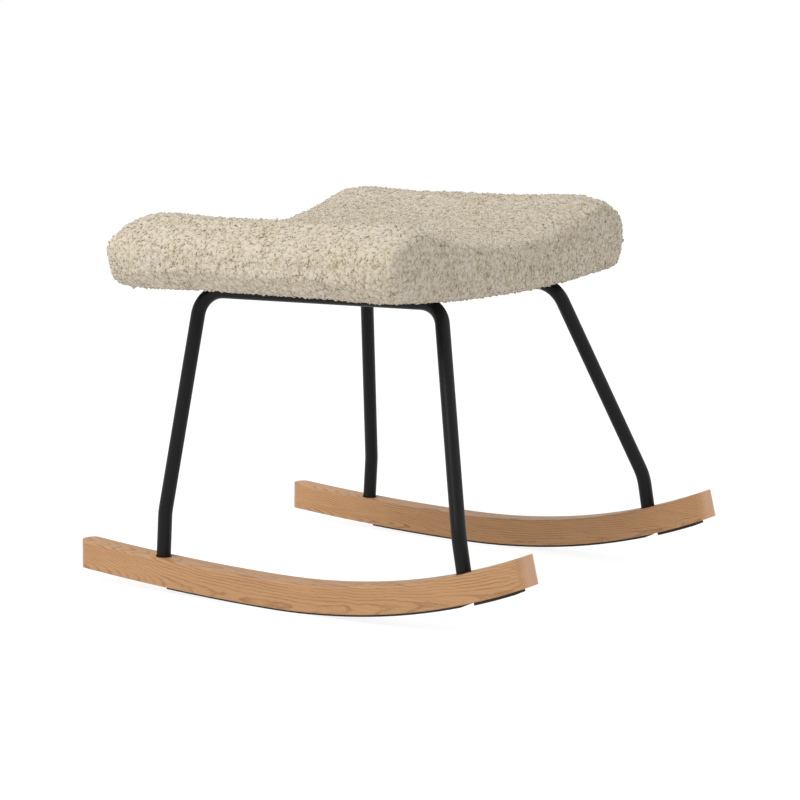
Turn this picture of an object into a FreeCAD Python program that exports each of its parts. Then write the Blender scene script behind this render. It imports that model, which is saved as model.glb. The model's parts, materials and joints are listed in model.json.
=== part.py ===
import FreeCAD, Part
import math
import os
from FreeCAD import Vector

# Rocking footstool, millimetres.
# Y is the rocking direction with the front at -Y, X runs across the two rockers, +Z is up.
# The origin is on the floor, under the middle of the footprint. Left is -X and right is +X.

# Wooden rockers
rocker_length = 570.0          # between the upright corner edges of the two ends
rocker_width = 31.0
rocker_depth = 31.0            # square to the curve
rocker_inset = 51.5            # of its middle, from the fullest side of the seat
rest_y = 20.0                  # lowest point of the curve, where the stool rests
front_curve_y = -100.0         # ahead of this the curve is tighter
rear_curve_y = 33.0            # behind this the curve is nearly straight
front_radius = 766.0
middle_radius = 870.0
rear_radius = 3342.0
nose_radius = 16.8             # bulge of each end, seen from above
front_end_lean = 13.5          # degrees that the front end is cut back from upright
rear_end_lean = 1.0
top_edge_round = 2.5
bottom_edge_round = 1.2

# Sole strips under the rockers
strip_width = 23.0
main_strip_thickness = 2.5
main_strip_rear_inset = 115.0  # from the rear end of the rocker
main_strip_front_inset = 74.0  # from the front end
stop_strip_thickness = 3.2
stop_strip_length = 47.0
stop_strip_inset = 10.5        # from the front end

# Steel tube hoops
tube_diameter = 16.0
tube_wall = 1.5
rear_foot_inset = 102.5        # from the rocker's end to where the tube enters its top
front_foot_inset = 76.0
rear_foot_lean = 3.5           # degrees from upright, towards the middle
front_foot_lean = 9.7
rear_knee_height = 89.5
front_knee_height = 103.0
rear_corner_side = 72.0        # top corners of the hoop, from the edges of the shell
rear_corner_end = 45.0
front_corner_side = 113.0
front_corner_end = 8.0
corner_bend_radius = 30.0
knee_bend_radius = 60.0
socket_depth = 15.0            # of the hole in the rocker that holds the tube
socket_play = 1.0              # all round the tube in its hole

# Foot fasteners
web_under_socket = 6.0         # wood left between the tube end and the washer
plug_length = 14.0
plug_play = 0.05
foot_screw_diameter = 6.0
foot_screw_reach = 12.0        # thread above the wood
foot_head_diameter = 10.0
foot_head_height = 6.0
foot_washer_diameter = 12.0
foot_washer_thickness = 1.6
counterbore_diameter = 13.0
screw_play = 0.2
thread_play = 0.05
key_width = 5.0                # across the flats of the hexagon socket
key_depth = 2.2
key_sides = 6

# Moulded plywood shell, curved across X
shell_curve_radius = 2600.0    # of its underside
shell_drop = 79.9              # from the top of the seat's rims to the underside at the middle
shell_thickness = 12.0
shell_side_inset = 24.0        # from the fullest line of the seat
shell_front_inset = 19.0
shell_rear_inset = 23.0
shell_corner_radius = 25.0

# Flat bars across the hoops, under the shell
bar_width = 30.0
bar_thickness = 4.0
bar_overhang = 9.0             # past the centre line of the tube
front_bar_inset = 66.0         # of its middle, from the shell's front edge
rear_bar_inset = 103.0
bar_on_tube_gap = 0.05
weld_radius = 3.0
weld_length = 22.0
weld_side = 6.5                # from the middle of the tube
weld_drop = 2.0                # below the top of the tube
dust_cloth_thickness = 0.8
cloth_edge_gap = 0.5

# Seat fasteners
seat_screw_inset = 158.0       # from the side of the shell
seat_screw_diameter = 6.0
seat_screw_reach = 9.0         # into the plywood
seat_head_diameter = 11.0
seat_head_height = 3.3
seat_washer_diameter = 14.0
seat_washer_thickness = 1.2
nut_barrel_diameter = 9.0
nut_barrel_length = 9.0
nut_flange_diameter = 19.0
nut_flange_thickness = 1.5

# Staples of the dust cloth
staple_crown = 10.0
staple_wire = 1.0
staple_leg = 5.0
staple_pitch = 42.0
staple_inset = 8.0             # from the edge of the cloth
staple_play = 0.1              # under the cloth and round the legs

# Padded seat, outside of the pile. Insets are from the fullest line, drops from the crest of the rims
seat_half_width = 262.0        # at the fullest line of the sides
seat_length = 381.0
seat_middle_y = 35.5
crest_height = 423.0
crest_inset = 49.0
shoulder_inset = 92.0          # where the dip turns into the raised rims
shoulder_drop = 5.5
dip_drop = 27.0                # top surface at the middle
rim_inset = 19.0               # where the rims turn down into the sides
rim_drop = 11.0
fullest_drop = 40.0
low_edge_inset = 18.0
low_edge_drop = 81.0
belly_drop = 92.0              # lower surface at the middle
side_fullness = 5.0            # swell of the sides between rim, fullest line and low edge
top_roll = 18.0                # rounding of the front and rear edges
bottom_roll = 8.0
corner_roll = 14.0             # rounding of the corners seen from above
side_draw = 3.0                # how far the sides pull in between the corners
cover_thickness = 6.0          # backing and pressed pile
flap_width = 28.0              # turned under the shell
foam_play = 0.3
notch_play = 0.6               # pile pressed back around the tubes

up = Vector(0, 0, 1)
across = Vector(1, 0, 0)
along = Vector(0, 1, 0)
tube_radius = tube_diameter / 2
sides = {"left": -1, "right": 1}
found_within = 0.01            # when an edge is told by its size
rocker_spacing = 2 * (seat_half_width - rocker_inset)    # centre to centre
reach_y = rocker_length / 2 + nose_radius    # beyond both ends of a rocker
main_strip_rear_y = rocker_length / 2 - main_strip_rear_inset
main_strip_front_y = main_strip_front_inset - rocker_length / 2
stop_strip_front_y = stop_strip_inset - rocker_length / 2
stop_strip_rear_y = stop_strip_front_y + stop_strip_length
rear_foot_y = rocker_length / 2 - rear_foot_inset
front_foot_y = front_foot_inset - rocker_length / 2
seat_front_y = seat_middle_y - seat_length / 2
seat_rear_y = seat_middle_y + seat_length / 2
shell_low_height = crest_height - shell_drop
shell_half_width = seat_half_width - shell_side_inset
shell_front_y = seat_front_y + shell_front_inset
shell_rear_y = seat_rear_y - shell_rear_inset
rear_corner_x = shell_half_width - rear_corner_side
rear_corner_y = shell_rear_y - rear_corner_end
front_corner_x = shell_half_width - front_corner_side
front_corner_y = shell_front_y + front_corner_end
front_bar_y = shell_front_y + front_bar_inset
rear_bar_y = shell_rear_y - rear_bar_inset
seat_screw_x = shell_half_width - seat_screw_inset
roll_turns = (0, 30, 60, 90)   # degrees round the front and rear edges of the seat
opening_half_width = shell_half_width - flap_width
opening_front_y = shell_front_y + flap_width
opening_rear_y = shell_rear_y - flap_width


def save(name, shapes):
    shape = shapes[0] if len(shapes) == 1 else Part.makeCompound(shapes)
    shape.exportStep("parts/" + name + ".step")
    print(name, "solids", len(shape.Solids), "volume", round(shape.Volume), "valid", shape.isValid())


def place(shape, origin, direction):
    shape.Placement = FreeCAD.Placement(origin, FreeCAD.Rotation(up, direction))
    return shape


def mirrored(shape, side):
    return shape if side > 0 else shape.mirror(Vector(0, 0, 0), across)


def ring(outer_radius, inner_radius, height):
    return Part.makeCylinder(outer_radius, height).cut(Part.makeCylinder(inner_radius, height))


def arc(first, middle, last):
    return Part.Arc(first, middle, last).toShape()


# Side view of the rocker: three tangent arcs, and offsets square to them

def curve_pieces(rear_y, front_y):
    middle = Vector(0, rest_y, main_strip_thickness + middle_radius)
    pieces = []
    rows = (
        (rear_radius, rear_curve_y, rear_y, max(front_y, rear_curve_y)),
        (middle_radius, rest_y, min(rear_y, rear_curve_y), max(front_y, front_curve_y)),
        (front_radius, front_curve_y, min(rear_y, front_curve_y), front_y),
    )
    for radius, joint_y, first_y, last_y in rows:
        joint = math.asin((joint_y - rest_y) / middle_radius)
        centre = middle + Vector(0, -math.sin(joint), math.cos(joint)) * (radius - middle_radius)
        if first_y > last_y:
            first = math.asin((first_y - centre.y) / radius)
            last = math.asin((last_y - centre.y) / radius)
            pieces.append((centre, radius, first, last))
    return pieces


def curve_point(piece, angle, offset):
    centre, radius, first, last = piece
    return centre + Vector(0, math.sin(angle), -math.cos(angle)) * (radius - offset)


def curve_edges(pieces, offset):
    edges = []
    for piece in pieces:
        first, last = piece[2], piece[3]
        points = [curve_point(piece, angle, offset) for angle in (first, (first + last) / 2, last)]
        edges.append(arc(*points))
    return edges


def curve_height(y, offset):
    for centre, radius, first, last in curve_pieces(reach_y, -reach_y):
        angle = math.asin((y - centre.y) / (radius - offset))
        if last <= angle <= first:
            return centre.z - (radius - offset) * math.cos(angle)
    return None


def curve_band(rear_y, front_y, low, high, width):
    """Bar of one width that follows the curve between two offsets from the underside."""
    pieces = curve_pieces(rear_y, front_y)
    lower = curve_edges(pieces, low)
    upper = curve_edges(pieces, high)
    rear, front = pieces[0], pieces[-1]
    rear_end = Part.makeLine(curve_point(rear, rear[2], low), curve_point(rear, rear[2], high))
    front_end = Part.makeLine(curve_point(front, front[3], low), curve_point(front, front[3], high))
    outline = Part.Wire(Part.__sortEdges__(lower + upper + [rear_end, front_end]))
    solid = Part.Face(outline).extrude(across * width)
    solid.translate(across * (-width / 2))
    return solid


# Rockers and their strips

def end_envelope(toward, lean):
    """Keeps what lies behind a convex end; toward is 1 for the rear end and -1 for the front."""
    corner = Vector(0, toward * rocker_length / 2, 0)
    corner.z = curve_height(corner.y, 0)
    centre = corner - along * toward * math.sqrt(nose_radius ** 2 - (rocker_width / 2) ** 2)
    side = across * nose_radius
    far = along * toward * -rocker_length * 2
    nose = arc(centre + side, centre + along * toward * nose_radius, centre - side)
    edges = [
        nose,
        Part.makeLine(centre - side, centre - side + far),
        Part.makeLine(centre - side + far, centre + side + far),
        Part.makeLine(centre + side + far, centre + side),
    ]
    tilt = math.radians(lean)
    direction = Vector(0, -toward * math.sin(tilt), math.cos(tilt))
    reach = rocker_length / 2
    face = Part.Face(Part.Wire(edges))
    face.translate(direction * -reach)
    return face.extrude(direction * 2 * reach)


def long_edges(bar, offset):
    """The edges of a bar along its two sides, at one offset from the underside."""
    found = []
    for edge in bar.Edges:
        point = edge.valueAt((edge.FirstParameter + edge.LastParameter) / 2)
        on_side = abs(abs(point.x) - rocker_width / 2) < found_within
        if on_side and edge.Curve.TypeId == "Part::GeomCircle":
            radii = [radius - offset for centre, radius, first, last in curve_pieces(reach_y, -reach_y)]
            if min(abs(edge.Curve.Radius - radius) for radius in radii) < found_within:
                found.append(edge)
    return found


def foot_axis(end):
    """Where the tube's axis meets the top of the rocker, and the way it leaves."""
    y, lean, toward = {
        "rear": (rear_foot_y, rear_foot_lean, -1),
        "front": (front_foot_y, front_foot_lean, 1),
    }[end]
    base = Vector(0, y, curve_height(y, rocker_depth))
    tilt = math.radians(lean)
    return base, Vector(0, toward * math.sin(tilt), math.cos(tilt))


def make_rocker():
    bar = curve_band(reach_y, -reach_y, 0, rocker_depth, rocker_width)
    bar = bar.makeFillet(top_edge_round, long_edges(bar, rocker_depth))
    bar = bar.makeFillet(bottom_edge_round, long_edges(bar, 0))
    bar = bar.common(end_envelope(1, rear_end_lean))
    bar = bar.common(end_envelope(-1, front_end_lean))
    for end in ("rear", "front"):
        base, direction = foot_axis(end)
        socket_floor = base - direction * socket_depth
        seat = socket_floor - direction * web_under_socket
        socket = Part.makeCylinder(tube_radius + socket_play, rocker_depth)
        bore = Part.makeCylinder(foot_screw_diameter / 2 + screw_play, rocker_depth)
        counterbore = Part.makeCylinder(counterbore_diameter / 2, rocker_depth)
        bar = bar.cut(place(socket, socket_floor, direction))
        bar = bar.cut(place(bore, seat, direction))
        bar = bar.cut(place(counterbore, seat - direction * rocker_depth, direction))
    return bar


def make_main_strip():
    return curve_band(main_strip_rear_y, main_strip_front_y, -main_strip_thickness, 0, strip_width)


def make_stop_strip():
    return curve_band(stop_strip_rear_y, stop_strip_front_y, -stop_strip_thickness, 0, strip_width)


# Hoops

def shell_height(x, offset):
    """Height of the curved shell's underside, or of a surface offset from it."""
    radius = shell_curve_radius - offset
    return shell_low_height + shell_curve_radius - math.sqrt(radius ** 2 - x ** 2)


def hoop_points():
    under = dust_cloth_thickness + bar_thickness + bar_on_tube_gap + tube_radius
    points = []
    for end, knee_height, x, y in (
        ("rear", rear_knee_height, rear_corner_x, rear_corner_y),
        ("front", front_knee_height, front_corner_x, front_corner_y),
    ):
        base, direction = foot_axis(end)
        base = base + across * (rocker_spacing / 2)
        foot = base - direction * socket_depth
        knee = base + direction * ((knee_height - base.z) / direction.z)
        corner = Vector(x, y, shell_height(x, -under))
        points += [foot, knee, corner] if end == "rear" else [corner, knee, foot]
    return points


def rounded_path(points, radii):
    edges = []
    start = points[0]
    for before, corner, after, radius in zip(points, points[1:], points[2:], radii):
        back = (before - corner).normalize()
        ahead = (after - corner).normalize()
        half_turn = (math.pi - back.getAngle(ahead)) / 2
        first = corner + back * (radius * math.tan(half_turn))
        last = corner + ahead * (radius * math.tan(half_turn))
        inward = (back + ahead).normalize()
        middle = corner + inward * (radius / math.cos(half_turn) - radius)
        edges += [Part.makeLine(start, first), arc(first, middle, last)]
        start = last
    edges.append(Part.makeLine(start, points[-1]))
    return Part.Wire(edges)


def hoop_rod(radius):
    points = hoop_points()
    bends = [knee_bend_radius, corner_bend_radius, corner_bend_radius, knee_bend_radius]
    path = rounded_path(points, bends)
    circle = Part.Wire(Part.makeCircle(radius, points[0], points[1] - points[0]))
    return path.makePipeShell([circle], True, True)


def make_hoop():
    return hoop_rod(tube_radius).cut(hoop_rod(tube_radius - tube_wall))


# Foot fasteners, four of each

def at_feet(make):
    shapes = []
    for side in sides.values():
        for end in ("rear", "front"):
            base, direction = foot_axis(end)
            base = base + across * (side * rocker_spacing / 2)
            shapes.append(make(base - direction * socket_depth, direction))
    return shapes


def make_plug(floor, direction):
    radius = tube_radius - tube_wall - plug_play
    return place(ring(radius, foot_screw_diameter / 2 + thread_play, plug_length), floor, direction)


def make_foot_washer(floor, direction):
    drop = web_under_socket + foot_washer_thickness
    washer = ring(foot_washer_diameter / 2, foot_screw_diameter / 2 + screw_play, foot_washer_thickness)
    return place(washer, floor - direction * drop, direction)


def make_screw(diameter, length, head_diameter, head_height):
    """Stands on its head, with the bearing face of the head at height zero."""
    head = Part.makeCylinder(head_diameter / 2, head_height)
    head.translate(up * -head_height)
    corner_radius = key_width / math.sqrt(3)
    turns = [2 * math.pi * k / key_sides for k in range(key_sides + 1)]
    corners = [Vector(corner_radius * math.cos(t), corner_radius * math.sin(t), -head_height) for t in turns]
    key = Part.Face(Part.makePolygon(corners)).extrude(up * key_depth)
    return head.fuse(Part.makeCylinder(diameter / 2, length)).cut(key).removeSplitter()


def make_foot_screw(floor, direction):
    drop = web_under_socket + foot_washer_thickness
    length = drop + foot_screw_reach
    screw = make_screw(foot_screw_diameter, length, foot_head_diameter, foot_head_height)
    return place(screw, floor - direction * drop, direction)


# Curved layers under the seat: shell, dust cloth and bars share one centre

def shell_layer(low, high, half_width, front_y, rear_y):
    def point(x, offset):
        return Vector(x, front_y, shell_height(x, offset))

    edges = [
        arc(point(-half_width, low), point(0, low), point(half_width, low)),
        Part.makeLine(point(half_width, low), point(half_width, high)),
        arc(point(half_width, high), point(0, high), point(-half_width, high)),
        Part.makeLine(point(-half_width, high), point(-half_width, low)),
    ]
    return Part.Face(Part.Wire(edges)).extrude(along * (rear_y - front_y))


def plan_prism(half_width, front_y, rear_y, corner_radius):
    """Upright block with rounded corners, from the floor to above the seat."""
    length = rear_y - front_y
    block = Part.makeBox(2 * half_width, length, crest_height * 2, Vector(-half_width, front_y, 0))
    upright = [edge for edge in block.Edges if edge.BoundBox.ZLength > crest_height]
    return block.makeFillet(corner_radius, upright)


def rounded_layer(low, high, half_width, front_y, rear_y, corner_radius):
    """Curved layer whose outline is cut upright, with rounded corners."""
    spare = corner_radius
    layer = shell_layer(low, high, half_width + spare, front_y - spare, rear_y + spare)
    return layer.common(plan_prism(half_width, front_y, rear_y, corner_radius))


def shell_axis(x, y):
    """Point on the underside of the shell, and the way into it."""
    angle = math.asin(x / shell_curve_radius)
    return Vector(x, y, shell_height(x, 0)), Vector(-math.sin(angle), 0, math.cos(angle))


def seat_screw_axes():
    return [shell_axis(x, y) for y in (front_bar_y, rear_bar_y) for x in (-seat_screw_x, seat_screw_x)]


def drilled(shape, radius):
    reach = shell_thickness * 2
    for point, direction in seat_screw_axes():
        drill = Part.makeCylinder(radius, 2 * reach)
        shape = shape.cut(place(drill, point - direction * reach, direction))
    return shape


def nut_body(point, direction, bored):
    barrel = Part.makeCylinder(nut_barrel_diameter / 2, nut_barrel_length)
    flange = Part.makeCylinder(nut_flange_diameter / 2, nut_flange_thickness)
    flange.translate(up * nut_barrel_length)
    nut = barrel.fuse(flange)
    if bored:
        height = nut_barrel_length + nut_flange_thickness
        nut = nut.cut(Part.makeCylinder(seat_screw_diameter / 2 + thread_play, height))
    rise = shell_thickness - nut_barrel_length - nut_flange_thickness
    return place(nut, point + direction * rise, direction)


def make_shell():
    outline = (shell_half_width, shell_front_y, shell_rear_y, shell_corner_radius)
    shell = rounded_layer(0, shell_thickness, *outline)
    shell = drilled(shell, seat_screw_diameter / 2 + screw_play)
    for point, direction in seat_screw_axes():
        shell = shell.cut(nut_body(point, direction, False))
    return shell.cut(staple_slots())


def make_dust_cloth():
    half_width = opening_half_width - cloth_edge_gap
    front_y = opening_front_y + cloth_edge_gap
    rear_y = opening_rear_y - cloth_edge_gap
    corner_radius = shell_corner_radius - cloth_edge_gap
    cloth = rounded_layer(-dust_cloth_thickness, 0, half_width, front_y, rear_y, corner_radius)
    cloth = drilled(cloth, seat_screw_diameter / 2 + screw_play)
    return cloth.cut(staple_slots())


def make_bar(y):
    share = (y - front_corner_y) / (rear_corner_y - front_corner_y)
    tube_x = front_corner_x + share * (rear_corner_x - front_corner_x)
    top = -dust_cloth_thickness
    half_width = tube_x + bar_overhang
    bar = shell_layer(top - bar_thickness, top, half_width, y - bar_width / 2, y + bar_width / 2)
    return drilled(bar, seat_screw_diameter / 2 + screw_play)


def make_weld_beads(bars, rod):
    """Two beads at each joint, shaped by the tube and the bar that they join."""
    points = hoop_points()
    rear, front = points[2], points[3]
    direction = (rear - front).normalize()
    aside = direction.cross(up).normalize()
    beads = []
    for bar, y in zip(bars, (front_bar_y, rear_bar_y)):
        joint = front + (rear - front) * ((y - front.y) / (rear.y - front.y))
        for way in (-1, 1):
            start = joint + aside * (way * weld_side) + up * (tube_radius - weld_drop)
            bead = Part.makeCylinder(weld_radius, weld_length)
            bead = place(bead, start - direction * weld_length / 2, direction)
            bead = bead.cut(rod).cut(bar)
            beads.append(max(bead.Solids, key=lambda solid: solid.Volume))
    return beads + [mirrored(bead, -1) for bead in beads]


def make_seat_washer(point, direction):
    washer = ring(seat_washer_diameter / 2, seat_screw_diameter / 2 + screw_play, seat_washer_thickness)
    drop = dust_cloth_thickness + bar_thickness + seat_washer_thickness
    return place(washer, point - direction * drop, direction)


def make_seat_screw(point, direction):
    drop = dust_cloth_thickness + bar_thickness + seat_washer_thickness
    length = drop + seat_screw_reach
    screw = make_screw(seat_screw_diameter, length, seat_head_diameter, seat_head_height)
    return place(screw, point - direction * drop, direction)


def spread(first, last):
    count = max(1, round((last - first) / staple_pitch))
    return [first + (last - first) * k / count for k in range(count + 1)]


def staple_place(x, y, crown_way):
    """Z goes into the shell and X runs along the crown, from the underside of the shell."""
    point, inward = shell_axis(x, y)
    turn = FreeCAD.Rotation(crown_way, inward.cross(crown_way), inward, "ZXY")
    return FreeCAD.Placement(point, turn)


def staple_places():
    side_x = opening_half_width - staple_inset
    front_y = opening_front_y + staple_inset
    rear_y = opening_rear_y - staple_inset
    clear = shell_corner_radius
    places = []
    for x in (-side_x, side_x):
        places += [staple_place(x, y, along) for y in spread(front_y + clear, rear_y - clear)]
    for y in (front_y, rear_y):
        places += [staple_place(x, y, across) for x in spread(-side_x + clear, side_x - clear)]
    return places


def staple_legs(play, low, high):
    width = staple_wire + 2 * play
    legs = []
    for way in (-1, 1):
        middle = way * (staple_crown - staple_wire) / 2
        legs.append(Part.makeBox(width, width, high - low, Vector(middle - width / 2, -width / 2, low)))
    return legs


def make_staples():
    low = -(dust_cloth_thickness + staple_play + staple_wire)
    corner = Vector(-staple_crown / 2, -staple_wire / 2, low)
    crown = Part.makeBox(staple_crown, staple_wire, staple_wire, corner)
    staple = crown.fuse(staple_legs(0, low, staple_leg)).removeSplitter()
    staples = []
    for where in staple_places():
        placed = staple.copy()
        placed.Placement = where
        staples.append(placed)
    return staples


def staple_slots():
    slots = []
    for where in staple_places():
        for slot in staple_legs(staple_play, -2 * dust_cloth_thickness, staple_leg + staple_play):
            slot.Placement = where
            slots.append(slot)
    return Part.makeCompound(slots)


# Padded seat: a loft through sections across X, rolled at the front and the rear

def seat_section(y, inset, low_inset, roll, draw):
    """Closed outline at one y. The roll is 1 at the flat of an end and 0 clear of its rounding."""
    narrow = (seat_half_width - inset - roll * corner_roll - draw) / seat_half_width
    down = inset + roll * top_roll
    rise = low_inset + roll * bottom_roll

    def point(x, z):
        return Vector(x * narrow, y, z)

    def side(way):
        crest = point(way * (seat_half_width - crest_inset), crest_height - down)
        rim = point(way * (seat_half_width - rim_inset), rim_height - down)
        upper = point(way * (seat_half_width - side_fullness / 2), (rim_height - down + fullest_height) / 2)
        fullest = point(way * seat_half_width, fullest_height)
        lower_z = (low_edge_height + rise + fullest_height) / 2
        lower = point(way * (seat_half_width - low_edge_inset / 2 + side_fullness), lower_z)
        low = point(way * (seat_half_width - low_edge_inset), low_edge_height + rise)
        return crest, rim, upper, fullest, lower, low

    rim_height = crest_height - rim_drop
    fullest_height = crest_height - fullest_drop
    low_edge_height = crest_height - low_edge_drop
    dip = point(0, crest_height - dip_drop - down)
    belly = point(0, crest_height - belly_drop + rise)
    shoulder_x = seat_half_width - shoulder_inset
    shoulders = [point(way * shoulder_x, crest_height - shoulder_drop - down) for way in (-1, 1)]
    crest, rim, upper, fullest, lower, low = side(1)
    crest_2, rim_2, upper_2, fullest_2, lower_2, low_2 = side(-1)
    return Part.Wire([
        arc(shoulders[0], dip, shoulders[1]),
        arc(shoulders[1], crest, rim),
        arc(rim, upper, fullest),
        arc(fullest, lower, low),
        arc(low, belly, low_2),
        arc(low_2, lower_2, fullest_2),
        arc(fullest_2, upper_2, rim_2),
        arc(rim_2, crest_2, shoulders[0]),
    ])


def seat_form(inset, low_inset):
    front_y = seat_front_y + inset
    rear_y = seat_rear_y - inset
    turns = [math.radians(turn) for turn in roll_turns]
    ends = [(top_roll * (1 - math.cos(turn)), 1 - math.sin(turn)) for turn in turns]
    rows = [(front_y + depth, roll) for depth, roll in ends]
    middle = (front_y + rear_y) / 2
    rows += [((front_y + top_roll + middle) / 2, 0), (middle, 0), ((rear_y - top_roll + middle) / 2, 0)]
    rows += [(rear_y - depth, roll) for depth, roll in reversed(ends)]
    half = (rear_y - front_y) / 2
    sections = []
    for y, roll in rows:
        draw = side_draw * (1 - ((y - middle) / half) ** 2)
        sections.append(seat_section(y, inset, low_inset, roll, draw))
    return Part.makeLoft(sections, True, False)


def below(offset):
    """Everything under a surface offset from the underside of the shell."""
    low = offset - shell_low_height / 2
    return shell_layer(low, offset, seat_half_width * 2, seat_front_y * 2, seat_rear_y * 2)


def make_foam():
    form = seat_form(cover_thickness + foam_play, 0)
    return form.cut(below(shell_thickness + foam_play))


def make_cover(rods):
    cavity = seat_form(cover_thickness, 0).cut(below(0))
    cover = seat_form(0, 0).cut(cavity)
    opening = plan_prism(opening_half_width, opening_front_y, opening_rear_y, shell_corner_radius)
    cover = cover.cut(opening.common(below(0)))
    for rod in rods:
        cover = cover.cut(rod)
    return cover


os.makedirs("parts", exist_ok=True)

rocker = make_rocker()
main_strip = make_main_strip()
stop_strip = make_stop_strip()
hoop = make_hoop()
rod = hoop_rod(tube_radius)
notch = hoop_rod(tube_radius + notch_play)

for name, side in sides.items():
    place_at = across * (side * rocker_spacing / 2)
    for kind, shape in (("rocker_", rocker), ("sole_strip_", main_strip), ("stop_strip_", stop_strip)):
        moved = shape.copy()
        moved.translate(place_at)
        save(kind + name, [moved])
    save("hoop_" + name, [mirrored(hoop, side)])

save("leg_plugs", at_feet(make_plug))
save("foot_washers", at_feet(make_foot_washer))
save("foot_screws", at_feet(make_foot_screw))

bars = [make_bar(front_bar_y), make_bar(rear_bar_y)]
save("crossbar_front", [bars[0]])
save("crossbar_rear", [bars[1]])
save("weld_beads", make_weld_beads(bars, rod))

save("seat_shell", [make_shell()])
save("insert_nuts", [nut_body(point, direction, True) for point, direction in seat_screw_axes()])
save("seat_washers", [make_seat_washer(point, direction) for point, direction in seat_screw_axes()])
save("seat_screws", [make_seat_screw(point, direction) for point, direction in seat_screw_axes()])
save("dust_cloth", [make_dust_cloth()])
save("cloth_staples", make_staples())

save("foam_pad", [make_foam()])
save("seat_cover", [make_cover([mirrored(notch, side) for side in sides.values()])])
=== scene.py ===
import bmesh
import bpy
import json
import math
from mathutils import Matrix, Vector

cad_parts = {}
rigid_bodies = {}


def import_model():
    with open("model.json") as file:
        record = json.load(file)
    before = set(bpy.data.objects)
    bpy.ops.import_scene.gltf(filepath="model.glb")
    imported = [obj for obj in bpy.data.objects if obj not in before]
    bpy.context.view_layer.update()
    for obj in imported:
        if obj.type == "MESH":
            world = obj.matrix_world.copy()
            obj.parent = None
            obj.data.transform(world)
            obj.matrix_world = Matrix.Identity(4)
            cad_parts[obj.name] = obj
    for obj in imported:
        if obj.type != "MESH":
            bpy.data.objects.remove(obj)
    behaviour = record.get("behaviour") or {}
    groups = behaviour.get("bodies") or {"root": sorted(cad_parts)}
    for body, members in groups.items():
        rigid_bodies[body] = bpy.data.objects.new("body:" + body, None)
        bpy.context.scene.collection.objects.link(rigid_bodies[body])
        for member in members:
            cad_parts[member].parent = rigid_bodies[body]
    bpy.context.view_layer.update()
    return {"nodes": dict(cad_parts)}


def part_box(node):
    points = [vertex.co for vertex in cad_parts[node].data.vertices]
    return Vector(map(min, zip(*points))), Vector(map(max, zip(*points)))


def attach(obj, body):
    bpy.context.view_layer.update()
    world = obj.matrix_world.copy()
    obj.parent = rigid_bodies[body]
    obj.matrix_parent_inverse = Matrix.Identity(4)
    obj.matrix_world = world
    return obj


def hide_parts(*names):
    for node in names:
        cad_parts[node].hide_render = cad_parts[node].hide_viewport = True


# Rocking footstool: ash rockers, black steel hoops and a seat in curly fleece
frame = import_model()
cadNodes = frame["nodes"]
print("frame loaded with", len(cadNodes), "nodes")


# Small helpers

def linearColour(hexCode):
    parts = [int(hexCode[k:k + 2], 16) / 255 for k in (1, 3, 5)]
    return tuple(p / 12.92 if p <= 0.04045 else ((p + 0.055) / 1.055) ** 2.4 for p in parts) + (1.0,)


def addNode(tree, kind, settings={}, inputs={}):
    node = tree.nodes.new(kind)
    for name, value in settings.items():
        setattr(node, name, value)
    for name, value in inputs.items():
        if isinstance(value, bpy.types.NodeSocket):
            tree.links.new(value, node.inputs[name])
        else:
            node.inputs[name].default_value = value
    return node


def newMaterial(name, roughness, metallic=0.0, ior=1.5):
    material = bpy.data.materials.new(name)
    material.use_nodes = True
    tree = material.node_tree
    shader = tree.nodes["Principled BSDF"]
    shader.inputs["Roughness"].default_value = roughness
    shader.inputs["Metallic"].default_value = metallic
    shader.inputs["IOR"].default_value = ior
    return material, tree, shader


def objectCoords(tree, scale=(1, 1, 1), shift=(0, 0, 0)):
    coords = addNode(tree, "ShaderNodeTexCoord")
    return addNode(tree, "ShaderNodeMapping", {}, {
        "Vector": coords.outputs["Object"], "Scale": scale, "Location": shift}).outputs[0]


def deselectAll():
    if bpy.context.object and bpy.context.object.mode != "OBJECT":
        bpy.ops.object.mode_set(mode="OBJECT")
    bpy.ops.object.select_all(action="DESELECT")


def selectOnly(piece):
    deselectAll()
    piece.select_set(True)
    bpy.context.view_layer.objects.active = piece


def addModifier(piece, kind, settings):
    selectOnly(piece)
    bpy.ops.object.modifier_add(type=kind)
    modifier = piece.modifiers[-1]
    for name, value in settings.items():
        setattr(modifier, name, value)
    return modifier


def applyModifier(piece, kind, settings):
    modifier = addModifier(piece, kind, settings)
    bpy.ops.object.modifier_apply(modifier=modifier.name)


def copyOfNodes(name, nodeNames):
    deselectAll()
    for nodeName in nodeNames:
        cadNodes[nodeName].select_set(True)
        bpy.context.view_layer.objects.active = cadNodes[nodeName]
    bpy.ops.object.duplicate()
    bpy.ops.object.parent_clear(type="CLEAR_KEEP_TRANSFORM")
    if len(nodeNames) > 1:
        bpy.ops.object.join()
    piece = bpy.context.object
    piece.name = name
    piece.data.name = name
    bpy.ops.object.mode_set(mode="EDIT")
    bpy.ops.mesh.select_all(action="SELECT")
    bpy.ops.mesh.remove_doubles(threshold=0.00001)
    bpy.ops.object.mode_set(mode="OBJECT")
    return piece


def dress(material, *nodeNames):
    for nodeName in nodeNames:
        for slot in cadNodes[nodeName].material_slots:
            slot.material = material


def cover(piece, material):
    piece.data.materials.clear()
    piece.data.materials.append(material)


# Rockers: ash, bent, sanded and oiled. Thin tan ring lines along the bend, in arcs at the rear, over pale wood

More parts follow.
